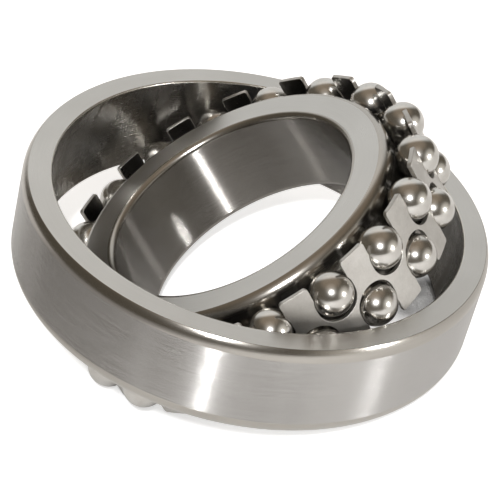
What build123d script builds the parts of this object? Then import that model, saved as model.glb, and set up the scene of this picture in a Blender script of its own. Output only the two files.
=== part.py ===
from build123d import *
from math import asin, atan2, cos, degrees, hypot, radians, sin, sqrt
import os

# Double-row self-aligning ball bearing, lying as it comes to rest with its
# inner parts swung out. Millimetres. The origin is the centre of the hollow
# spherical race, +Z is up from the floor, and the rings swivel about Y.

# Boundary sizes of the bearing. The section is all that lies between the bore
# and the outside, so the outside diameter is 100.
BORE_DIAMETER = 55.0
SECTION_HEIGHT = 22.5
WIDTH = 21.0

# Balls: two rows of the same ball, each row at its own distance from the
# middle. The first angle turns the whole ball set about the inner axis, as it
# happens to stand.
BALL_DIAMETER = 9.128
BALLS_PER_ROW = 18
FIRST_BALL_ANGLE = -1.8

# Angle between the axes of the two rings, as the bearing lies
SWIVEL_ANGLE = 37.0

# Running clearances
RACE_GAP = 0.10
POCKET_GAP = 0.15

# Outer ring edges
OUTER_CORNER_RADIAL = 1.0
OUTER_CORNER_AXIAL = 2.6
RACE_EDGE_CHAMFER = 0.4

# Inner ring edges
BORE_CORNER_RADIUS = 1.3
SHOULDER_CORNER_RADIAL = 1.8
SHOULDER_CORNER_AXIAL_RATIO = 0.58

# Where the balls' centres run, as a share of the section from the bore, and
# how far each row lies from the middle, in ball radii
PITCH_RATIO = 0.5644
ROW_OFFSET_RATIO = 0.986

# Inner ring grooves: their radius in ball diameters, and how far the shoulders
# and the middle rib stand inside the balls' centres, in ball radii
GROOVE_RATIO = 0.52
SHOULDER_DROP_RATIO = 0.92
RIB_DROP_RATIO = 0.657

# Cage: a thin band with open pockets, cut alternately from both edges. Its
# outer surface stands outside the balls' centres, and its edges stay inside
# the ring's faces.
CAGE_THICKNESS = 1.0
CAGE_RISE_RATIO = 0.35
CAGE_EDGE_GAP = 0.5
TAB_CORNER = 0.4

# Pocket, in ball radii: half its width at the ball and at the mouth, and how
# far its closed end lies beyond the ball's centre
POCKET_RATIO = 0.986
MOUTH_RATIO = 0.898
CLOSED_END_RATIO = 1.227

# Sizes that follow from the ones above
HALF_WIDTH = WIDTH / 2
BORE_RADIUS = BORE_DIAMETER / 2
OUTER_RADIUS = BORE_RADIUS + SECTION_HEIGHT
BALL_RADIUS = BALL_DIAMETER / 2
PITCH_RADIUS = BORE_RADIUS + PITCH_RATIO * SECTION_HEIGHT
ROW_OFFSET = ROW_OFFSET_RATIO * BALL_RADIUS
BALL_CENTRE_DISTANCE = hypot(PITCH_RADIUS, ROW_OFFSET)
CONTACT_ANGLE = asin(ROW_OFFSET / BALL_CENTRE_DISTANCE)
RACE_RADIUS = BALL_CENTRE_DISTANCE + BALL_RADIUS + RACE_GAP
SHOULDER_RADIUS = PITCH_RADIUS - SHOULDER_DROP_RATIO * BALL_RADIUS
RIB_RADIUS = PITCH_RADIUS - RIB_DROP_RATIO * BALL_RADIUS
CAGE_OUTER_RADIUS = PITCH_RADIUS + CAGE_RISE_RATIO * BALL_RADIUS
CAGE_HALF_WIDTH = HALF_WIDTH - CAGE_EDGE_GAP
POCKET_HALF_WIDTH = POCKET_RATIO * BALL_RADIUS
POCKET_CLOSED_END = CLOSED_END_RATIO * BALL_RADIUS
MOUTH_HALF_WIDTH = MOUTH_RATIO * BALL_RADIUS
BALL_PITCH_ANGLE = 360 / BALLS_PER_ROW

os.makedirs("parts", exist_ok=True)


def outer_lean():
    """Lean of the outer ring's axis at which its low edge and the cage's low
    corner, on the other side, reach the same floor."""
    swivel = radians(SWIVEL_ANGLE)
    foot = OUTER_RADIUS - OUTER_CORNER_RADIAL
    rise = CAGE_OUTER_RADIUS * sin(swivel) + CAGE_HALF_WIDTH * cos(swivel) - HALF_WIDTH
    run = CAGE_OUTER_RADIUS * cos(swivel) - CAGE_HALF_WIDTH * sin(swivel) + foot
    return degrees(atan2(rise, run))


OUTER_LEAN = outer_lean()
INNER_LEAN = SWIVEL_ANGLE - OUTER_LEAN


def turned(outline):
    """Solid of revolution about Z from a closed half outline in the XZ plane."""
    return revolve(outline, axis=Axis.Z)


def make_outer_ring():
    edge_z = HALF_WIDTH - RACE_EDGE_CHAMFER
    edge_x = sqrt(RACE_RADIUS**2 - edge_z**2)
    corner_z = HALF_WIDTH - OUTER_CORNER_AXIAL
    face_end = OUTER_RADIUS - OUTER_CORNER_RADIAL
    with BuildSketch(Plane.XZ) as outline:
        with BuildLine():
            ThreePointArc((edge_x, -edge_z), (RACE_RADIUS, 0), (edge_x, edge_z))
            Line((edge_x, edge_z), (edge_x + RACE_EDGE_CHAMFER, HALF_WIDTH))
            Line((edge_x + RACE_EDGE_CHAMFER, HALF_WIDTH), (face_end, HALF_WIDTH))
            TangentArc((OUTER_RADIUS, corner_z), (face_end, HALF_WIDTH), tangent=(0, 1))
            Line((OUTER_RADIUS, corner_z), (OUTER_RADIUS, -corner_z))
            TangentArc((OUTER_RADIUS, -corner_z), (face_end, -HALF_WIDTH), tangent=(0, -1))
            Line((face_end, -HALF_WIDTH), (edge_x + RACE_EDGE_CHAMFER, -HALF_WIDTH))
            Line((edge_x + RACE_EDGE_CHAMFER, -HALF_WIDTH), (edge_x, -edge_z))
        make_face()
    return turned(outline.sketch)


def make_inner_ring():
    groove_radius = GROOVE_RATIO * BALL_DIAMETER
    # Each groove is centred on the line from the origin through the ball, a
    # little further out than the ball, so that only its bottom comes close.
    centre_distance = BALL_CENTRE_DISTANCE - BALL_RADIUS - RACE_GAP + groove_radius
    groove_x = centre_distance * cos(CONTACT_ANGLE)
    groove_z = centre_distance * sin(CONTACT_ANGLE)
    shoulder_z = groove_z + sqrt(groove_radius**2 - (groove_x - SHOULDER_RADIUS) ** 2)
    rib_z = groove_z - sqrt(groove_radius**2 - (groove_x - RIB_RADIUS) ** 2)
    bottom_x = (centre_distance - groove_radius) * cos(CONTACT_ANGLE)
    bottom_z = (centre_distance - groove_radius) * sin(CONTACT_ANGLE)
    corner_z = HALF_WIDTH - SHOULDER_CORNER_AXIAL_RATIO * (HALF_WIDTH - shoulder_z)
    face_end = SHOULDER_RADIUS - SHOULDER_CORNER_RADIAL
    bore_z = HALF_WIDTH - BORE_CORNER_RADIUS
    face_start = BORE_RADIUS + BORE_CORNER_RADIUS
    with BuildSketch(Plane.XZ) as outline:
        with BuildLine():
            Line((BORE_RADIUS, -bore_z), (BORE_RADIUS, bore_z))
            Line((RIB_RADIUS, -rib_z), (RIB_RADIUS, rib_z))
            for side in (1, -1):
                half = side * HALF_WIDTH
                TangentArc((BORE_RADIUS, side * bore_z), (face_start, half), tangent=(0, side))
                Line((face_start, half), (face_end, half))
                TangentArc(
                    (SHOULDER_RADIUS, side * corner_z), (face_end, half), tangent=(0, side)
                )
                Line((SHOULDER_RADIUS, side * corner_z), (SHOULDER_RADIUS, side * shoulder_z))
                ThreePointArc(
                    (SHOULDER_RADIUS, side * shoulder_z),
                    (bottom_x, side * bottom_z),
                    (RIB_RADIUS, side * rib_z),
                )
        make_face()
    return turned(outline.sketch)


def pocket(azimuth, side):
    """Ball pocket seen along the radius: round at its closed end, wide at the
    ball, and a narrower mouth that runs out through the band's edge."""
    end_centre = POCKET_CLOSED_END - POCKET_HALF_WIDTH
    mouth_end = CAGE_HALF_WIDTH - ROW_OFFSET
    flare = MOUTH_HALF_WIDTH + TAB_CORNER
    beyond = mouth_end + 2 * TAB_CORNER
    across = Plane((CAGE_OUTER_RADIUS - 2 * CAGE_THICKNESS, 0, 0), x_dir=(0, 1, 0), z_dir=(1, 0, 0))
    with BuildPart() as cutter:
        with BuildSketch(across):
            Circle(POCKET_HALF_WIDTH)
            with Locations((0, -end_centre)):
                Circle(POCKET_HALF_WIDTH)
            with Locations((0, -end_centre / 2)):
                Rectangle(2 * POCKET_HALF_WIDTH, end_centre)
            with Locations((0, beyond / 2)):
                Rectangle(2 * MOUTH_HALF_WIDTH, beyond)
            Polygon(
                (-MOUTH_HALF_WIDTH, mouth_end - TAB_CORNER),
                (MOUTH_HALF_WIDTH, mouth_end - TAB_CORNER),
                (flare, mouth_end),
                (flare, beyond),
                (-flare, beyond),
                (-flare, mouth_end),
                align=None,
            )
        extrude(amount=3 * CAGE_THICKNESS)
    solid = cutter.part
    if side < 0:
        solid = solid.rotate(Axis.X, 180)
    return (Pos(0, 0, side * ROW_OFFSET) * solid).rotate(Axis.Z, azimuth)


def ball_seat(azimuth, side):
    """Coined hollow that keeps the ball from leaving its pocket outwards. Its
    own seam lies in the open mouth."""
    hollow = Sphere(BALL_RADIUS + POCKET_GAP).rotate(Axis.Y, -90 * side)
    return (Pos(PITCH_RADIUS, 0, side * ROW_OFFSET) * hollow).rotate(Axis.Z, azimuth)


def ball_azimuths(side):
    """The lower row is half a pitch on from the upper one, so that each ball
    sits between two of the other row."""
    start = FIRST_BALL_ANGLE if side > 0 else FIRST_BALL_ANGLE + BALL_PITCH_ANGLE / 2
    return [start + index * BALL_PITCH_ANGLE for index in range(BALLS_PER_ROW)]


def make_cage():
    band = Cylinder(CAGE_OUTER_RADIUS, 2 * CAGE_HALF_WIDTH)
    band -= Cylinder(CAGE_OUTER_RADIUS - CAGE_THICKNESS, 2 * CAGE_HALF_WIDTH)
    places = [(azimuth, side) for side in (1, -1) for azimuth in ball_azimuths(side)]
    band -= [pocket(azimuth, side) for azimuth, side in places]
    band -= [ball_seat(azimuth, side) for azimuth, side in places]
    return band


def make_ball(azimuth, side):
    ball = Pos(PITCH_RADIUS, 0, side * ROW_OFFSET) * Sphere(BALL_RADIUS)
    return ball.rotate(Axis.Z, azimuth)


def save(solid, lean, name):
    export_step(solid.rotate(Axis.Y, lean), f"parts/{name}.step")


save(make_outer_ring(), OUTER_LEAN, "outer_ring")
save(make_inner_ring(), -INNER_LEAN, "inner_ring")
save(make_cage(), -INNER_LEAN, "cage")
for row, side in (("upper", 1), ("lower", -1)):
    for number, azimuth in enumerate(ball_azimuths(side), start=1):
        save(make_ball(azimuth, side), -INNER_LEAN, f"{row}_ball_{number:02d}")

print("outer lean", round(OUTER_LEAN, 4), "inner lean", round(INNER_LEAN, 4))
print("contact angle", round(degrees(CONTACT_ANGLE), 4), "race radius", round(RACE_RADIUS, 4))
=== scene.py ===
from math import acos, asin, atan2, cos, hypot, pi, radians, sin, sqrt

import bmesh
import bpy
from mathutils import Matrix, Vector
from mathutils.geometry import delaunay_2d_cdt


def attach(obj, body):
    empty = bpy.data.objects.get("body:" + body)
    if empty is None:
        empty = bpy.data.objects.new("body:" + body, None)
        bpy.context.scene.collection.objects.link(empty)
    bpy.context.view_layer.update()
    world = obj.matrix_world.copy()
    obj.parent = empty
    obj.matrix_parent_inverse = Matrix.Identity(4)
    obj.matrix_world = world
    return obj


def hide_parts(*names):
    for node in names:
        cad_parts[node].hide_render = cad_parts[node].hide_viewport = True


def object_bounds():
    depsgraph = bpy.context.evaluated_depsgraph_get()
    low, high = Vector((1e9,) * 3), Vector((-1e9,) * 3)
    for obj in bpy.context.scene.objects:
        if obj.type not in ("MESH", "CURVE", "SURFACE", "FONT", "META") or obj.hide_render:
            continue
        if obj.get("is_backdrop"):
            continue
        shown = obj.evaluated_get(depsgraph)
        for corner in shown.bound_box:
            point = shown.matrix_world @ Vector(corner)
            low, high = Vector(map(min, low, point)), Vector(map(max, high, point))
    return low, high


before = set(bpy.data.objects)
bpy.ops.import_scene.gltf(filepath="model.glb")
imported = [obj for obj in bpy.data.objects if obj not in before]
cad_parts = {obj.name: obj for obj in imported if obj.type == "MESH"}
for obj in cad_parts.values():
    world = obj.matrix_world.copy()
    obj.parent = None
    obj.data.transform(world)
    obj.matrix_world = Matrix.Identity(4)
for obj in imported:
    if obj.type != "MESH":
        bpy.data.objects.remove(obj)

cad_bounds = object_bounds()
scene = bpy.context.scene
MM = 0.001

# Sizes of the bearing in millimetres and degrees, as its solids have them
BORE_DIAMETER = 55.0
SECTION_HEIGHT = 22.5
WIDTH = 21.0
BALL_DIAMETER = 9.128
BALLS_PER_ROW = 18
FIRST_BALL_ANGLE = -1.8
SWIVEL_ANGLE = 37.0
RACE_GAP = 0.10
POCKET_GAP = 0.15
OUTER_CORNER_RADIAL = 1.0
OUTER_CORNER_AXIAL = 2.6
BORE_CORNER_RADIUS = 1.3
SHOULDER_CORNER_RADIAL = 1.8
CAGE_THICKNESS = 1.0
CAGE_EDGE_GAP = 0.5
TAB_CORNER = 0.4

# Ratios: the pitch circle's place in the section, the groove's radius in ball
# diameters, the shoulder's corner as a share of the shoulder's width, and the
# rest in ball radii
PITCH_RATIO = 0.5644
GROOVE_RATIO = 0.52
SHOULDER_CORNER_AXIAL_RATIO = 0.58
ROW_OFFSET_RATIO = 0.986
SHOULDER_DROP_RATIO = 0.92
RIB_DROP_RATIO = 0.657
CAGE_RISE_RATIO = 0.35
POCKET_RATIO = 0.986
MOUTH_RATIO = 0.898
CLOSED_END_RATIO = 1.227

# Sizes that follow from the ones above
HALF_WIDTH = WIDTH / 2
BORE_RADIUS = BORE_DIAMETER / 2
OUTER_RADIUS = BORE_RADIUS + SECTION_HEIGHT
BALL_RADIUS = BALL_DIAMETER / 2
PITCH_RADIUS = BORE_RADIUS + PITCH_RATIO * SECTION_HEIGHT
ROW_OFFSET = ROW_OFFSET_RATIO * BALL_RADIUS
BALL_CENTRE_DISTANCE = hypot(PITCH_RADIUS, ROW_OFFSET)
CONTACT_ANGLE = asin(ROW_OFFSET / BALL_CENTRE_DISTANCE)
RACE_RADIUS = BALL_CENTRE_DISTANCE + BALL_RADIUS + RACE_GAP
GROOVE_RADIUS = GROOVE_RATIO * BALL_DIAMETER
SHOULDER_RADIUS = PITCH_RADIUS - SHOULDER_DROP_RATIO * BALL_RADIUS
RIB_RADIUS = PITCH_RADIUS - RIB_DROP_RATIO * BALL_RADIUS
CAGE_OUTER_RADIUS = PITCH_RADIUS + CAGE_RISE_RATIO * BALL_RADIUS
CAGE_INNER_RADIUS = CAGE_OUTER_RADIUS - CAGE_THICKNESS
CAGE_HALF_WIDTH = HALF_WIDTH - CAGE_EDGE_GAP
POCKET_HALF_WIDTH = POCKET_RATIO * BALL_RADIUS
POCKET_CLOSED_END = CLOSED_END_RATIO * BALL_RADIUS
MOUTH_HALF_WIDTH = MOUTH_RATIO * BALL_RADIUS

# Roundings that only the scene has: of the race's lip, of each turned edge and
# of each stamped edge
RACE_LIP_RADIUS = 0.4
EDGE_BREAK = 0.07
STAMPED_EDGE = 0.12

# How finely the meshes are divided
RING_STEPS = 480
ARC_STEP = radians(4.0)
BALL_SUBDIVISIONS = 5
TAB_STEPS = 8
CUT_STEPS = 14
CLOSED_END_STEPS = 10
NARROWING_STEPS = 6
MOUTH_STEPS = 3
GRID_STEP = 0.7

# Cosines between two directions above which runs of an outline, and walls of
# the cage, meet smoothly
SMOOTH_RUNS = 0.995
SMOOTH_WALLS = 0.9

# When the cage's outline is drawn in: how far up or down a wall beside a cut
# faces at least, and the least cosine that is used at a sharp corner
FACES_UP = 0.5
CORNER_COSINE = 0.5

# Distance in which a point counts as lying on a cut, and the settings of the
# triangulation: its tolerance, and that it fills the inside alone
ON_CUT_WITHIN = 1e-6
FILL_TOLERANCE = 1e-7
FILL_INSIDE = 1

# Numbers of the cage's two finishes
OUTSIDE = 0
INSIDE = 1

# Names of what each mesh carries for its material
OWN_PLACE = "own_place"
UNROLLED = "unrolled"

# Noises of the finishes, each with its scale, detail and roughness, the part of
# their range that is used, and their mean
GRAIN_NOISE = (90.0, 4.0, 0.6)
SCORE_NOISE = (90.0, 1.0, 0.5)
PATCH_NOISE = (55.0, 3.0, 0.55)
SMEAR_NOISE = (260.0, 4.0, 0.65)
STRIP_NOISE = (2600.0, 3.0, 0.6)
RUB_NOISE = (240.0, 4.0, 0.6)
HAZE_NOISE = (300.0, 3.0, 0.6)
NOISE_RANGE = (0.3, 0.7)
NOISE_MEAN = 0.5

# How much finer the grinding lines and the scores among them are across than
# along, and how a wiped streak is drawn out along the ring's axis
GRAIN_FINENESS = 60.0
SCORE_FINENESS = 3000.0
WIPED_STRETCH = (1.0, 1.0, 0.12)

# Share of the finer noise in the tone of ground steel and of strip
GRAIN_SHARE = 0.45
STRIP_SHARE = 0.35

# Height of the relief in metres, its strength on both, and the turn that draws
# a highlight out across the lines
RELIEF_HEIGHT = 0.0001
GRAIN_RELIEF = 0.04
STRIP_RELIEF = 0.12
QUARTER_TURN = 0.25

# The camera, where it stood for the photograph, in metres and degrees
CAMERA_PLACE = (0.0157, -0.34427, 0.25346)
CAMERA_ELEVATION = 36.7
CAMERA_AZIMUTH = -2.67
CAMERA_ROLL = 6.01
CAMERA_LENS = 144.5
SENSOR_WIDTH = 36.0
CLIP_RANGE = (0.01, 20.0)

# Floor: half its side, how far it lies below the bearing, and the colour of the
# paper in deep shade and in the light
FLOOR_HALF_SIDE = 3.0
FLOOR_DROP = 0.00005
PAPER_COLOURS = ((0.10, 0.095, 0.09), (0.86, 0.86, 0.86))

# How far the paper feels what closes it in, by how many rays, and how open it
# is where the shade is full and where it ends
SHADE_REACH = 0.06
SHADE_RAYS = 16
SHADE_OPENNESS = (0.26, 0.40)

# The place between the rings that is shaded for the camera too, how near to it
# the shade is full, and from how far there is none
SHADE_PLACE = (0.0365, 0.005, 0.0)
SHADE_EDGE = (0.005, 0.0105)

# Glow of the paper for the camera, and in reflections: round a place in front
# of the bearing, far from it and near it, and behind the bearing
CAMERA_GLOW = 0.62
FRONT_PLACE = (0.03, -0.15, 0.0)
FRONT_EDGE = (0.16, 0.06)
FRONT_GLOW = (0.05, 0.28)
BEHIND_EDGE = (0.02, 0.12)
BEHIND_GLOW = 0.30

# Painted shade on the paper as it is reflected: how much darker it is at the
# left, where across that begins and is full, and where towards the back it is
# nothing and full
LEFT_PAINTED_SHADE = 0.58
LEFT_EDGE = (-0.06, -0.12)
LEFT_BACK_EDGE = (0.07, 0.01)

# The room's own light, and soft patches round it: direction, the cosines at
# which each one begins and is full, and colour
ROOM = (0.132, 0.115, 0.090)
BLACK = (0.0, 0.0, 0.0)
PATCHES = (
    ((-0.05, 0.93, 0.36), 0.70, 0.88, (0.74, 0.755, 0.76)),
    ((0.93, -0.34, 0.08), 0.76, 0.94, (0.50, 0.48, 0.44)),
    ((0.0, -0.50, 0.87), 0.84, 0.96, (0.12, 0.11, 0.10)),
    ((0.0, 0.20, 0.98), 0.60, 0.95, (0.178, 0.136, 0.100)),
)

# Lamps: name, direction, distance and width in metres, and power in watts
LAMPS = (
    ("front_lamp", (0.035, -0.72, 0.69), 1.2, 0.07, 10.5),
    ("side_lamp", (0.897, -0.41, 0.18), 1.0, 0.14, 2.5),
)


def outer_lean():
    """Lean of the outer ring's axis at which its low edge and the cage's low
    corner, on the other side, reach the same floor."""
    swivel = radians(SWIVEL_ANGLE)
    foot = OUTER_RADIUS - OUTER_CORNER_RADIAL
    rise = CAGE_OUTER_RADIUS * sin(swivel) + CAGE_HALF_WIDTH * cos(swivel) - HALF_WIDTH
    run = CAGE_OUTER_RADIUS * cos(swivel) - CAGE_HALF_WIDTH * sin(swivel) + foot
    return atan2(rise, run)


# How the rings' axes lean from upright, about Y
OUTER_TURN = Matrix.Rotation(outer_lean(), 4, "Y")
INNER_TURN = Matrix.Rotation(outer_lean() - radians(SWIVEL_ANGLE), 4, "Y")


def make_camera():
    data = bpy.data.cameras.new("camera")
    data.sensor_width = SENSOR_WIDTH
    data.lens = CAMERA_LENS
    data.clip_start, data.clip_end = CLIP_RANGE
    camera = bpy.data.objects.new("camera", data)
    scene.collection.objects.link(camera)
    elevation = radians(CAMERA_ELEVATION)
    azimuth = radians(CAMERA_AZIMUTH)
    roll = radians(CAMERA_ROLL)
    forward = Vector((
        sin(azimuth) * cos(elevation),
        cos(azimuth) * cos(elevation),
        -sin(elevation),
    ))
    level = forward.cross(Vector((0, 0, 1))).normalized()
    upright = level.cross(forward)
    right = level * cos(roll) - upright * sin(roll)
    up = upright * cos(roll) + level * sin(roll)
    turn = Matrix((right, up, -forward)).transposed().to_4x4()
    camera.matrix_world = Matrix.Translation(CAMERA_PLACE) @ turn
    scene.camera = camera


# Nodes

class Tree:
    """The nodes of one material or world, with short ways to add to them."""

    def __init__(self, owner):
        owner.use_nodes = True
        self.nodes = owner.node_tree.nodes
        self.links = owner.node_tree.links
        self.nodes.clear()

    def new(self, kind):
        return self.nodes.new(f"ShaderNode{kind}")

    def fill(self, node, inputs):
        """Links each input to its socket, or gives it its plain value."""
        for name, value in inputs.items():
            if isinstance(value, bpy.types.NodeSocket):
                self.links.new(value, node.inputs[name])
            else:
                node.inputs[name].default_value = value
        return node

    def math(self, operation, *values):
        node = self.new("Math")
        node.operation = operation
        return self.fill(node, dict(enumerate(values))).outputs[0]

    def vector(self, operation, *values):
        node = self.new("VectorMath")
        node.operation = operation
        names = (0, "Scale" if operation == "SCALE" else 1)
        self.fill(node, dict(zip(names, values)))
        return node.outputs["Value" if operation in ("DISTANCE", "DOT_PRODUCT") else "Vector"]

    def split(self, vector):
        return self.fill(self.new("SeparateXYZ"), {0: vector}).outputs

    def join(self, *parts):
        return self.fill(self.new("CombineXYZ"), dict(enumerate(parts))).outputs[0]

    def noise(self, place, scale, detail, roughness):
        node = self.new("TexNoise")
        self.fill(node, {"Vector": place, "Scale": scale, "Detail": detail, "Roughness": roughness})
        return node.outputs["Fac"]

    def ramp(self, value, start, end, low=0.0, high=1.0, interpolation="SMOOTHSTEP"):
        """Runs from low at start to high at end, and stays level beyond both."""
        node = self.new("MapRange")
        node.interpolation_type = interpolation
        self.fill(node, {
            "Value": value,
            "From Min": start,
            "From Max": end,
            "To Min": low,
            "To Max": high,
        })
        return node.outputs["Result"]

    def spread(self, factor, low, high):
        """Stretches the used part of a noise to run from low to high."""
        return self.ramp(factor, *NOISE_RANGE, low, high, "LINEAR")

    def weigh(self, first, share, second):
        """The first factor by its share, and the second by the rest."""
        rest = self.math("MULTIPLY", second, 1 - share)
        return self.math("MULTIPLY_ADD", first, share, rest)

    def blend(self, factor, low, high):
        """From the low colour at 0 to the high one at 1."""
        node = self.new("Mix")
        node.data_type = "RGBA"
        self.fill(node, {"Factor": factor, "A": (*low, 1), "B": (*high, 1)})
        return node.outputs["Result"]

    def relief(self, height, strength):
        """The direction of the surface, tilted by a height."""
        node = self.new("Bump")
        self.fill(node, {"Height": height, "Strength": strength, "Distance": RELIEF_HEIGHT})
        return node.outputs[0]

    def own_place(self):
        """The point in the piece's own upright frame, before the piece was leaned."""
        node = self.new("Attribute")
        node.attribute_name = OWN_PLACE
        return node.outputs["Vector"]

    def metal(self, inputs):
        """Bare metal as the material's surface."""
        shader = self.fill(self.new("BsdfPrincipled"), {"Metallic": 1.0, **inputs})
        self.fill(self.new("OutputMaterial"), {"Surface": shader.outputs[0]})


# Finishes

def lay_coordinates(tree, place, lay):
    """Coordinates in which a noise becomes lines and scores round the ring's
    axis: by height on the cylinders, by distance from the axis on the faces."""
    x, y, z = tree.split(place)
    across = z
    if lay == "face":
        square = tree.math("MULTIPLY_ADD", y, y, tree.math("MULTIPLY", x, x))
        across = tree.math("SQRT", square)
    return [
        tree.join(x, y, tree.math("MULTIPLY", across, fineness))
        for fineness in (GRAIN_FINENESS, SCORE_FINENESS)
    ]


def ring_steel(name, light, dark, roughness, variation, lay, lines, stretch, smears=0.0):
    """Bearing steel with soft patches and grinding lines. The scores among the
    lines tilt the surface by the value of lines, and only across themselves.
    Stretch draws a highlight out, and smears are wiped streaks along the axis."""
    material = bpy.data.materials.new(name)
    tree = Tree(material)
    place = tree.own_place()
    lined, scored = lay_coordinates(tree, place, lay)
    grain = tree.noise(lined, *GRAIN_NOISE)
    tone = tree.weigh(grain, GRAIN_SHARE, tree.noise(place, *PATCH_NOISE))
    if smears:
        streaks = tree.noise(tree.vector("MULTIPLY", place, WIPED_STRETCH), *SMEAR_NOISE)
        tone = tree.math("MULTIPLY_ADD", tree.math("SUBTRACT", streaks, NOISE_MEAN), smears, tone)
    tangent = tree.new("Tangent")
    tangent.direction_type = "UV_MAP"
    tangent.uv_map = UNROLLED
    surface = tree.relief(grain, GRAIN_RELIEF)
    across = tree.vector("CROSS_PRODUCT", surface, tangent.outputs[0])
    score = tree.math("SUBTRACT", tree.noise(scored, *SCORE_NOISE), NOISE_MEAN)
    tilt = tree.vector("SCALE", across, tree.math("MULTIPLY", score, lines))
    tree.metal({
        "Base Color": tree.blend(tree.spread(tone, 0, 1), dark, light),
        "Roughness": tree.spread(tone, roughness + variation, roughness - variation),
        "Normal": tree.vector("NORMALIZE", tree.vector("ADD", surface, tilt)),
        "Tangent": tangent.outputs[0],
        "Anisotropic": stretch,
        "Anisotropic Rotation": QUARTER_TURN,
    })
    return material


def pressed_steel(name, light, dark, rough, smooth):
    """Cold-rolled strip with fine grain and a few darker rubs."""
    material = bpy.data.materials.new(name)
    tree = Tree(material)
    place = tree.own_place()
    grain = tree.noise(place, *STRIP_NOISE)
    rubs = tree.noise(place, *RUB_NOISE)
    tone = tree.weigh(grain, STRIP_SHARE, rubs)
    tree.metal({
        "Base Color": tree.blend(tree.spread(tone, 0, 1), dark, light),
        "Roughness": tree.spread(rubs, rough, smooth),
        "Normal": tree.relief(grain, STRIP_RELIEF),
    })
    return material


def lapped_steel(name, light, dark, rough, smooth):
    """Nearly a mirror, with a faint haze."""
    material = bpy.data.materials.new(name)
    tree = Tree(material)
    haze = tree.noise(tree.own_place(), *HAZE_NOISE)
    tree.metal({
        "Base Color": tree.blend(tree.spread(haze, 0, 1), dark, light),
        "Roughness": tree.spread(haze, rough, smooth),
    })
    return material


# Meshes

class Draft:
    """A mesh as it is gathered: points given in millimetres and kept in metres,
    and faces with their material and, for each corner, its own normal and its
    place on the unrolled ring."""

    def __init__(self):
        self.points = []
        self.faces = []
        self.finishes = []
        self.normals = []
        self.unrolled = []

    def point(self, x, y, z):
        self.points.append((x * MM, y * MM, z * MM))
        return len(self.points) - 1

    def face(self, corners, normals, finish=0, unrolled=()):
        self.faces.append(tuple(corners))
        self.finishes.append(finish)
        self.normals += normals
        self.unrolled += unrolled


def polar(radius, angle, z):
    """A point or a direction at an angle round the ring's own axis."""
    return (radius * cos(angle), radius * sin(angle), z)


def flat(groups):
    return [value for group in groups for value in group]


def finished_mesh(name, draft, materials, turn):
    """An object with its own corner normals. The points are leaned by turn, and
    keep their upright place for the material."""
    mesh = bpy.data.meshes.new(name)
    mesh.from_pydata([turn @ Vector(point) for point in draft.points], [], draft.faces)
    for material in materials:
        mesh.materials.append(material)
    mesh.polygons.foreach_set("material_index", draft.finishes)
    mesh.polygons.foreach_set("use_smooth", [True] * len(draft.faces))
    place = mesh.attributes.new(OWN_PLACE, "FLOAT_VECTOR", "POINT")
    place.data.foreach_set("vector", flat(draft.points))
    if draft.unrolled:
        layer = mesh.uv_layers.new(name=UNROLLED)
        layer.data.foreach_set("uv", flat(draft.unrolled))
    lean = turn.to_3x3()
    mesh.normals_split_custom_set([lean @ Vector(normal) for normal in draft.normals])
    piece = bpy.data.objects.new(name, mesh)
    scene.collection.objects.link(piece)
    return piece


# Turned rings

def straight(start, end, zone):
    """A straight run of an outline, in distance from the axis and height. The
    metal lies on its left. Each run gives its own normals, so that what is flat
    stays flat beside a rounded corner."""
    way = Vector(end) - Vector(start)
    normal = Vector((way.y, -way.x)).normalized()
    return {
        "length": way.length,
        "at": lambda share: (Vector(start) + way * share, normal),
        "steps": 1,
        "zone": zone,
    }


def round_run(centre, radius, begin, end, zone, hollow=False):
    """A round run of an outline. A hollow one has the metal outside its arc."""
    def at(share):
        angle = begin + (end - begin) * share
        out = Vector((cos(angle), sin(angle)))
        return Vector(centre) + out * radius, -out if hollow else out

    return {
        "length": radius * abs(end - begin),
        "at": at,
        "steps": max(2, int(abs(end - begin) / ARC_STEP + 0.5)),
        "zone": zone,
    }


def corner_run(radius, corner_z, radial, axial, zone, upper):
    """The rounding from a ring's cylinder to its face, tangent to the cylinder."""
    bend = (radial**2 + axial**2) / (2 * radial)
    sweep = acos((bend - radial) / bend)
    if upper:
        return round_run((radius - bend, corner_z), bend, 0, sweep, zone)
    return round_run((radius - bend, -corner_z), bend, -sweep, 0, zone)


def outer_ring_runs():
    lip_z = HALF_WIDTH - RACE_LIP_RADIUS
    lip_x = sqrt(RACE_RADIUS**2 - lip_z**2) + RACE_LIP_RADIUS
    lip_angle = asin(lip_z / RACE_RADIUS)
    corner_z = HALF_WIDTH - OUTER_CORNER_AXIAL
    face_end = OUTER_RADIUS - OUTER_CORNER_RADIAL
    corner = (OUTER_RADIUS, corner_z, OUTER_CORNER_RADIAL, OUTER_CORNER_AXIAL, "corner")
    return [
        straight((OUTER_RADIUS, -corner_z), (OUTER_RADIUS, corner_z), "outside"),
        corner_run(*corner, True),
        straight((face_end, HALF_WIDTH), (lip_x, HALF_WIDTH), "face"),
        round_run((lip_x, lip_z), RACE_LIP_RADIUS, pi / 2, pi, "edge"),
        round_run((0, 0), RACE_RADIUS, lip_angle, -lip_angle, "race", hollow=True),
        round_run((lip_x, -lip_z), RACE_LIP_RADIUS, pi, 3 * pi / 2, "edge"),
        straight((lip_x, -HALF_WIDTH), (face_end, -HALF_WIDTH), "face"),
        corner_run(*corner, False),
    ]


def groove_run(centre, begin, end):
    return round_run(centre, GROOVE_RADIUS, begin, end, "groove", hollow=True)


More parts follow.
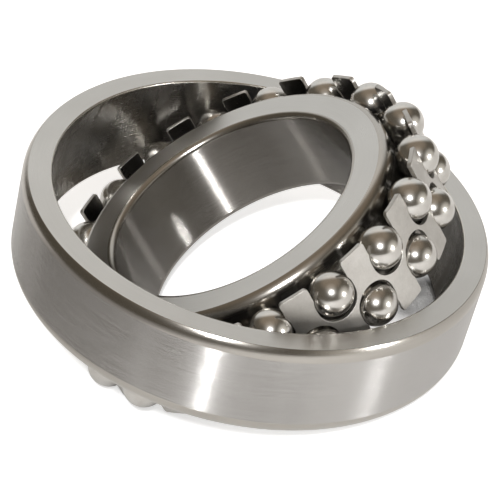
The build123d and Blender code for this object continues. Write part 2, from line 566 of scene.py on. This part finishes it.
def inner_ring_runs():
    distance = BALL_CENTRE_DISTANCE - BALL_RADIUS - RACE_GAP + GROOVE_RADIUS
    groove_x = distance * cos(CONTACT_ANGLE)
    groove_z = distance * sin(CONTACT_ANGLE)
    shoulder_angle = acos((SHOULDER_RADIUS - groove_x) / GROOVE_RADIUS)
    rib_angle = acos((RIB_RADIUS - groove_x) / GROOVE_RADIUS)
    shoulder_z = groove_z + sqrt(GROOVE_RADIUS**2 - (groove_x - SHOULDER_RADIUS) ** 2)
    rib_z = groove_z - sqrt(GROOVE_RADIUS**2 - (groove_x - RIB_RADIUS) ** 2)
    axial = SHOULDER_CORNER_AXIAL_RATIO * (HALF_WIDTH - shoulder_z)
    corner_z = HALF_WIDTH - axial
    face_end = SHOULDER_RADIUS - SHOULDER_CORNER_RADIAL
    face_start = BORE_RADIUS + BORE_CORNER_RADIUS
    bore_z = HALF_WIDTH - BORE_CORNER_RADIUS
    corner = (SHOULDER_RADIUS, corner_z, SHOULDER_CORNER_RADIAL, axial, "corner")
    return [
        straight((RIB_RADIUS, -rib_z), (RIB_RADIUS, rib_z), "groove"),
        groove_run((groove_x, groove_z), 2 * pi - rib_angle, shoulder_angle),
        # the shoulder's cylinder takes the grooves' dark colour, a painted shade
        straight((SHOULDER_RADIUS, shoulder_z), (SHOULDER_RADIUS, corner_z), "groove"),
        corner_run(*corner, True),
        straight((face_end, HALF_WIDTH), (face_start, HALF_WIDTH), "face"),
        round_run((face_start, bore_z), BORE_CORNER_RADIUS, pi / 2, pi, "corner"),
        straight((BORE_RADIUS, bore_z), (BORE_RADIUS, -bore_z), "bore"),
        round_run((face_start, -bore_z), BORE_CORNER_RADIUS, pi, 3 * pi / 2, "corner"),
        straight((face_start, -HALF_WIDTH), (face_end, -HALF_WIDTH), "face"),
        corner_run(*corner, False),
        straight((SHOULDER_RADIUS, -corner_z), (SHOULDER_RADIUS, -shoulder_z), "groove"),
        groove_run((groove_x, -groove_z), 2 * pi - shoulder_angle, rib_angle),
    ]


def edge_share(run, before, after):
    """The share of a run that the small rounding takes where two runs meet, or
    nothing where they meet smoothly."""
    if before["at"](1)[1].dot(after["at"](0)[1]) < SMOOTH_RUNS:
        return EDGE_BREAK / run["length"]
    return 0


def outline_strips(runs, zones):
    """The points of a closed outline, and for the strip that starts at each one
    the normals at its start and end, and its zone's number."""
    points = []
    strips = []
    for index, run in enumerate(runs):
        following = runs[(index + 1) % len(runs)]
        zone = zones.index(run["zone"])
        start_cut = edge_share(run, runs[index - 1], run)
        end_cut = edge_share(run, run, following)
        steps = run["steps"]
        kept = 1 - start_cut - end_cut
        samples = [run["at"](start_cut + kept * k / steps) for k in range(steps + 1)]
        for (place, normal), (_, next_normal) in zip(samples, samples[1:]):
            points.append(place)
            strips.append((normal, next_normal, zone))
        if end_cut:
            place, normal = samples[-1]
            points.append(place)
            meeting = following["at"](EDGE_BREAK / following["length"])[1]
            strips.append((normal, meeting, zone))
    return points, strips


def lathe(name, runs, finishes, turn):
    """A ring from a closed outline: strips of quads with their own normals, and
    a small rounding wherever two runs meet at an angle."""
    points, strips = outline_strips(runs, list(finishes))
    count = len(points)
    lengths = [(points[(i + 1) % count] - points[i]).length for i in range(count)]
    along = [sum(lengths[:i]) / sum(lengths) for i in range(count + 1)]
    angles = [2 * pi * k / RING_STEPS for k in range(RING_STEPS)]
    draft = Draft()
    for angle in angles:
        for p in points:
            draft.point(*polar(p.x, angle, p.y))
    for k in range(RING_STEPS):
        onward = (k + 1) % RING_STEPS
        here = angles[k]
        there = angles[onward]
        left = k / RING_STEPS
        right = (k + 1) / RING_STEPS
        for i, (low, high, zone) in enumerate(strips):
            j = (i + 1) % count
            corners = (k * count + i, onward * count + i, onward * count + j, k * count + j)
            facing = ((low, here), (low, there), (high, there), (high, here))
            normals = [polar(normal.x, angle, normal.y) for normal, angle in facing]
            start = along[i]
            end = along[i + 1]
            unrolled = ((left, start), (right, start), (right, end), (left, end))
            draft.face(corners, normals, zone, unrolled)
    return finished_mesh(name, draft, finishes.values(), turn)


# Cage

def pocket_arc(centre, begin, end, steps):
    """Points across and along the pocket on an arc of its half width, about a
    point of its middle line."""
    angles = [begin + (end - begin) * k / steps for k in range(steps + 1)]
    return [(POCKET_HALF_WIDTH * cos(a), centre + POCKET_HALF_WIDTH * sin(a)) for a in angles]


def pocket_outline(seat):
    """Half outline of a pocket from its closed end to the band's edge, in the
    pocket's own frame: across the pocket and towards the mouth. Where the
    hollow of radius seat is wider than the slot, the outline follows it."""
    end_centre = POCKET_HALF_WIDTH - POCKET_CLOSED_END
    narrowing = acos(MOUTH_HALF_WIDTH / POCKET_HALF_WIDTH)
    trail = pocket_arc(end_centre, -pi / 2, 0, CLOSED_END_STEPS)
    trail += pocket_arc(0, 0, narrowing, NARROWING_STEPS)
    outline = []
    for across, along in trail:
        grown = max(1, seat / hypot(across, along))
        outline.append((across * grown, along * grown))
    last_along = outline[-1][1]
    mouth_end = CAGE_HALF_WIDTH - ROW_OFFSET
    shoulder = mouth_end - TAB_CORNER
    for k in range(1, MOUTH_STEPS + 1):
        outline.append((MOUTH_HALF_WIDTH, last_along + (shoulder - last_along) * k / MOUTH_STEPS))
    outline.append((MOUTH_HALF_WIDTH + TAB_CORNER, mouth_end))
    return outline


def cell_outline(radius):
    """Closed outline of one cell, in arc length at that radius and height. A
    cell reaches from the middle of one tab to the middle of the next, and the
    band has one for each ball of a row. The second list says for each point
    whether it lies on a cut between cells."""
    seat = sqrt((BALL_RADIUS + POCKET_GAP) ** 2 - (PITCH_RADIUS - radius) ** 2)
    half_cell = radius * pi / BALLS_PER_ROW
    pocket = [(radius * asin(across / radius), along) for across, along in pocket_outline(seat)]
    lower = [(across - half_cell, -ROW_OFFSET - along) for across, along in pocket]
    upper = [(across, ROW_OFFSET + along) for across, along in reversed(pocket)]
    foot = lower[-1][0]
    bottom = [(foot - 2 * foot * k / TAB_STEPS, -CAGE_HALF_WIDTH) for k in range(1, TAB_STEPS)]
    head = upper[0][0]
    top = [
        (half_cell + (head - half_cell) * 2 * k / TAB_STEPS, CAGE_HALF_WIDTH)
        for k in range(TAB_STEPS // 2)
    ]
    neck_z = lower[0][1]
    cut = [
        (half_cell, neck_z + (CAGE_HALF_WIDTH - neck_z) * k / CUT_STEPS)
        for k in range(1, CUT_STEPS)
    ]
    right = [(-across, z) for across, z in reversed(lower)] + cut + top + upper
    left = [(-across, z) for across, z in reversed(cut + top + upper[:-1])]
    outline = lower + bottom + right + left
    on_cut = [abs(abs(across) - half_cell) < ON_CUT_WITHIN for across, _ in outline]
    return outline, on_cut


def drawn_in(outline, on_cut, amount):
    """The outline drawn in by amount, except along the cuts, where a point only
    slides along its cut."""
    result = []
    count = len(outline)
    for i in range(count):
        here = Vector(outline[i])
        before = here - Vector(outline[i - 1])
        after = Vector(outline[(i + 1) % count]) - here
        sides = [Vector((-way.y, way.x)).normalized() for way in (before, after)]
        if on_cut[i]:
            free = [side for side in sides if abs(side.y) > FACES_UP]
            step = free[0] * amount if free else Vector((0, 0))
            here += Vector((0, step.y))
        else:
            middle = (sides[0] + sides[1]).normalized()
            here += middle * (amount / max(CORNER_COSINE, middle.dot(sides[0])))
        result.append((here.x, here.y))
    return result


def inside(x, y, outline):
    hit = False
    for (ax, ay), (bx, by) in zip(outline, outline[1:] + outline[:1]):
        if (ay > y) != (by > y) and x < ax + (y - ay) * (bx - ax) / (by - ay):
            hit = not hit
    return hit


def grid_steps(values):
    """Even steps over the range of some values, from half a step inside it."""
    place = min(values) + GRID_STEP / 2
    while place < max(values):
        yield place
        place += GRID_STEP


def filled(outline):
    """Points and triangles that fill a closed outline, with a regular grid of
    points inside that keeps half a step from the outline's own points."""
    count = len(outline)
    points = [Vector(point) for point in outline]
    xs, ys = zip(*outline)
    for y in grid_steps(ys):
        for x in grid_steps(xs):
            if inside(x, y, outline) and all(hypot(x - a, y - b) > GRID_STEP / 2 for a, b in outline):
                points.append(Vector((x, y)))
    edges = [(i, (i + 1) % count) for i in range(count)]
    result = delaunay_2d_cdt(points, edges, [list(range(count))], FILL_INSIDE, FILL_TOLERANCE)
    return result[0], result[2]


def cage_layers():
    """The cell's outline at the four levels of its walls, from the outer surface
    to the inner one, as angle, height and radius. On both surfaces it is drawn
    in, so that a narrow bevel breaks the stamped edge. Each level also says how
    it faces: outwards, inwards (-1), or as the wall does (0)."""
    layers = []
    for radius, depth, amount, outwards in (
        (CAGE_OUTER_RADIUS, 0, STAMPED_EDGE, 1),
        (CAGE_OUTER_RADIUS, STAMPED_EDGE, 0, 0),
        (CAGE_INNER_RADIUS, -STAMPED_EDGE, 0, 0),
        (CAGE_INNER_RADIUS, 0, STAMPED_EDGE, -1),
    ):
        outline = drawn_in(*cell_outline(radius), amount)
        layers.append(([(across / radius, z, radius - depth) for across, z in outline], outwards))
    return layers


def cage_walls():
    """The stretches of a cell's outline that are walls and not cuts: the points
    at both ends, and where the wall faces at each. That is the mean of the walls
    that meet there, or the wall's own direction at a corner."""
    outline, on_cut = cell_outline(CAGE_OUTER_RADIUS)
    walls = []
    meeting = {}
    for i in range(len(outline)):
        j = (i + 1) % len(outline)
        if on_cut[i] and on_cut[j]:
            continue
        way = Vector(outline[j]) - Vector(outline[i])
        own = Vector((way.y, -way.x)).normalized()
        walls.append((i, j, own))
        for end in (i, j):
            meeting.setdefault(end, []).append(own)

    def facing(end, own):
        mean = sum(meeting[end], Vector((0, 0))).normalized()
        return mean if mean.dot(own) > SMOOTH_WALLS else own

    return [(i, j, facing(i, own), facing(j, own)) for i, j, own in walls]


def band_normal(angle, outwards, side):
    """The direction of a surface of the band, or of a wall where outwards is 0."""
    if outwards:
        return polar(outwards, angle, 0)
    return (-sin(angle) * side.x, cos(angle) * side.x, side.y)


def add_surface(draft, layer, cells):
    """Fills a layer's outline in every cell."""
    outline, outwards = layer
    radius = outline[0][2]
    spots, triangles = filled([(angle * radius, z) for angle, z, _ in outline])
    for turned in cells:
        angles = [turned + spot.x / radius for spot in spots]
        base = [draft.point(*polar(radius, angle, spot.y)) for angle, spot in zip(angles, spots)]
        for triangle in triangles:
            order = triangle[::outwards]
            normals = [polar(outwards, angles[k], 0) for k in order]
            draft.face([base[k] for k in order], normals, OUTSIDE if outwards > 0 else INSIDE)


def add_walls(draft, layers, cells):
    """Joins the layers along the walls of every cell, one strip to each level."""
    walls = cage_walls()
    for turned in cells:
        rings = [
            [
                (draft.point(*polar(radius, turned + angle, z)), turned + angle, outwards)
                for angle, z, radius in outline
            ]
            for outline, outwards in layers
        ]
        for i, j, facing_i, facing_j in walls:
            for shallow, deep in zip(rings, rings[1:]):
                corners = (
                    (*shallow[i], facing_i),
                    (*deep[i], facing_i),
                    (*deep[j], facing_j),
                    (*shallow[j], facing_j),
                )
                normals = [band_normal(*rest) for _, *rest in corners]
                draft.face([point for point, *_ in corners], normals, OUTSIDE)


def make_cage(name, materials):
    """The band: its outer and inner surface, and the walls between them."""
    cells = [radians(FIRST_BALL_ANGLE + 360 / BALLS_PER_ROW * k) for k in range(BALLS_PER_ROW)]
    layers = cage_layers()
    draft = Draft()
    add_surface(draft, layers[0], cells)
    add_surface(draft, layers[-1], cells)
    add_walls(draft, layers, cells)
    return finished_mesh(name, draft, materials, INNER_TURN)


# Balls

def make_ball(name, azimuth, side, material):
    """A fine sphere in its own pocket, leaned into place with the inner ring."""
    centre = Vector(polar(PITCH_RADIUS, azimuth, side * ROW_OFFSET))
    draft = Draft()
    form = bmesh.new()
    bmesh.ops.create_icosphere(form, subdivisions=BALL_SUBDIVISIONS, radius=BALL_RADIUS)
    for vert in form.verts:
        draft.point(*(centre + vert.co))
    for face in form.faces:
        normals = [vert.co.normalized() for vert in face.verts]
        draft.face([vert.index for vert in face.verts], normals)
    form.free()
    return finished_mesh(name, draft, [material], INNER_TURN)


# Studio

def make_paper():
    """White paper. It glows for the camera, and in reflections, where it is brightest
    in front of the bearing and behind it. Shade is painted on it: in reflections
    it is darker at the left and dark where the bearing closes it in, and for the
    camera it is painted dark in one place between the rings, there only as far as
    they close it in."""
    material = bpy.data.materials.new("paper")
    tree = Tree(material)
    place = tree.new("TexCoord").outputs["Object"]
    x, y, _ = tree.split(place)
    rays = tree.new("LightPath").outputs
    mirrored = rays["Is Glossy Ray"]

    around = tree.fill(tree.new("AmbientOcclusion"), {"Distance": SHADE_REACH})
    around.samples = SHADE_RAYS
    open_share = tree.ramp(around.outputs["AO"], *SHADE_OPENNESS)
    apart = tree.ramp(tree.vector("DISTANCE", place, SHADE_PLACE), *SHADE_EDGE)
    lit = tree.math("MAXIMUM", open_share, tree.math("SUBTRACT", apart, mirrored))

    # painted shade: the paper as reflected is darker at the left
    left = tree.ramp(x, *LEFT_EDGE, 0.0, LEFT_PAINTED_SHADE)
    left = tree.math("MULTIPLY", left, tree.ramp(y, *LEFT_BACK_EDGE))
    kept = tree.math("SUBTRACT", 1.0, tree.math("MULTIPLY", left, mirrored))
    colour = tree.blend(tree.math("MULTIPLY", kept, lit), *PAPER_COLOURS)
    paper = tree.fill(tree.new("BsdfDiffuse"), {"Color": colour})

    front = tree.ramp(tree.vector("DISTANCE", place, FRONT_PLACE), *FRONT_EDGE, *FRONT_GLOW)
    behind = tree.ramp(y, *BEHIND_EDGE, 0.0, BEHIND_GLOW)
    mirror_glow = tree.math("MULTIPLY", mirrored, tree.math("MAXIMUM", front, behind))
    seen = tree.math("MAXIMUM", rays["Is Camera Ray"], rays["Is Transmission Ray"])
    strength = tree.math("MAXIMUM", tree.math("MULTIPLY", seen, CAMERA_GLOW), mirror_glow)
    glow = tree.fill(tree.new("Emission"), {"Strength": tree.math("MULTIPLY", strength, lit)})

    both = tree.fill(tree.new("AddShader"), {0: paper.outputs[0], 1: glow.outputs[0]})
    tree.fill(tree.new("OutputMaterial"), {"Surface": both.outputs[0]})
    return material


def make_floor():
    mesh = bpy.data.meshes.new("floor")
    form = bmesh.new()
    bmesh.ops.create_grid(form, x_segments=1, y_segments=1, size=FLOOR_HALF_SIDE)
    form.to_mesh(mesh)
    form.free()
    mesh.materials.append(make_paper())
    floor = bpy.data.objects.new("floor", mesh)
    floor.location.z = cad_bounds[0][2] - FLOOR_DROP
    scene.collection.objects.link(floor)
    floor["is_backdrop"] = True


def make_world():
    """A dim warm room with a white wall behind the bearing and soft light from
    the right, from high in front and from above."""
    world = bpy.data.worlds.new("studio")
    scene.world = world
    tree = Tree(world)
    direction = tree.new("TexCoord").outputs["Generated"]
    colour = ROOM
    for towards, begins, full, patch in PATCHES:
        facing = tree.vector("DOT_PRODUCT", direction, Vector(towards).normalized())
        lit = tree.blend(tree.ramp(facing, begins, full), BLACK, patch)
        colour = tree.vector("ADD", colour, lit)
    background = tree.fill(tree.new("Background"), {"Color": colour})
    tree.fill(tree.new("OutputWorld"), {"Surface": background.outputs[0]})


def make_lamp(name, towards, distance, width, power):
    light = bpy.data.lights.new(name, "AREA")
    light.shape = "DISK"
    light.size = width
    light.energy = power
    lamp = bpy.data.objects.new(name, light)
    way = Vector(towards).normalized()
    lamp.location = way * distance
    lamp.rotation_euler = (-way).to_track_quat("-Z", "Y").to_euler()
    scene.collection.objects.link(lamp)


make_camera()

RING_FINISHES = {
    "face": ring_steel(
        "ground_face", light=(0.58, 0.57, 0.55), dark=(0.53, 0.52, 0.50),
        roughness=0.30, variation=0.03, lay="face", lines=0.5, stretch=0.3,
    ),
    "outside": ring_steel(
        "ground_outside", light=(0.53, 0.52, 0.51), dark=(0.485, 0.475, 0.465),
        roughness=0.26, variation=0.02, lay="side", lines=3.4, stretch=1.0,
    ),
    "corner": ring_steel(
        "polished_corner", light=(0.47, 0.45, 0.42), dark=(0.40, 0.38, 0.35),
        roughness=0.22, variation=0.03, lay="side", lines=0.4, stretch=0.3,
    ),
    "edge": ring_steel(
        "broken_edge", light=(0.60, 0.58, 0.54), dark=(0.53, 0.51, 0.47),
        roughness=0.26, variation=0.03, lay="side", lines=0.4, stretch=0.3,
    ),
    "race": ring_steel(
        "honed_race", light=(0.48, 0.47, 0.45), dark=(0.25, 0.24, 0.225),
        roughness=0.26, variation=0.06, lay="side", lines=1.0, stretch=0.8, smears=0.7,
    ),
    # painted shade: grooves, rib and the shoulders' cylinders get a dark colour for the shade between
    # the rings
    "groove": ring_steel(
        "groove_painted_shade", light=(0.28, 0.27, 0.25), dark=(0.20, 0.19, 0.17),
        roughness=0.26, variation=0.04, lay="side", lines=0.5, stretch=0.5,
    ),
    "bore": ring_steel(
        "ground_bore", light=(0.455, 0.44, 0.42), dark=(0.38, 0.365, 0.34),
        roughness=0.23, variation=0.02, lay="side", lines=3.4, stretch=1.0,
    ),
}
CAGE_FINISHES = [
    pressed_steel(
        "pressed_strip", light=(0.57, 0.555, 0.53), dark=(0.45, 0.435, 0.41),
        rough=0.48, smooth=0.36,
    ),
    # painted shade: the band's inner surface gets a dark colour for the shade it lies in
    pressed_steel(
        "inner_strip_painted_shade", light=(0.26, 0.25, 0.235), dark=(0.15, 0.145, 0.135),
        rough=0.34, smooth=0.26,
    ),
]
BALL_FINISH = lapped_steel(
    "lapped_ball", light=(0.66, 0.65, 0.625), dark=(0.57, 0.55, 0.52),
    rough=0.23, smooth=0.18,
)

outer = lathe("outer_ring_turned", outer_ring_runs(), RING_FINISHES, OUTER_TURN)
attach(outer, "outer_ring")
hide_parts("outer_ring")
inner = lathe("inner_ring_turned", inner_ring_runs(), RING_FINISHES, INNER_TURN)
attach(inner, "inner_ring")
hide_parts("inner_ring")

cage = make_cage("cage_band", CAGE_FINISHES)
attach(cage, "cage")
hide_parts("cage")
for row, side in (("upper", 1), ("lower", -1)):
    for number in range(BALLS_PER_ROW):
        half_step = 0 if side > 0 else 180 / BALLS_PER_ROW
        azimuth = radians(FIRST_BALL_ANGLE + half_step + 360 / BALLS_PER_ROW * number)
        node = f"{row}_ball_{number + 1:02d}"
        ball = make_ball(f"{node}_lapped", azimuth, side, BALL_FINISH)
        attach(ball, node)
        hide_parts(node)

make_floor()
make_world()
for lamp in LAMPS:
    make_lamp(*lamp)

scene.view_settings.view_transform = "Standard"

boxes = {"cad": cad_bounds, "visual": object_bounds()}
{name: [[float(v) for v in corner] for corner in box] for name, box in boxes.items()}
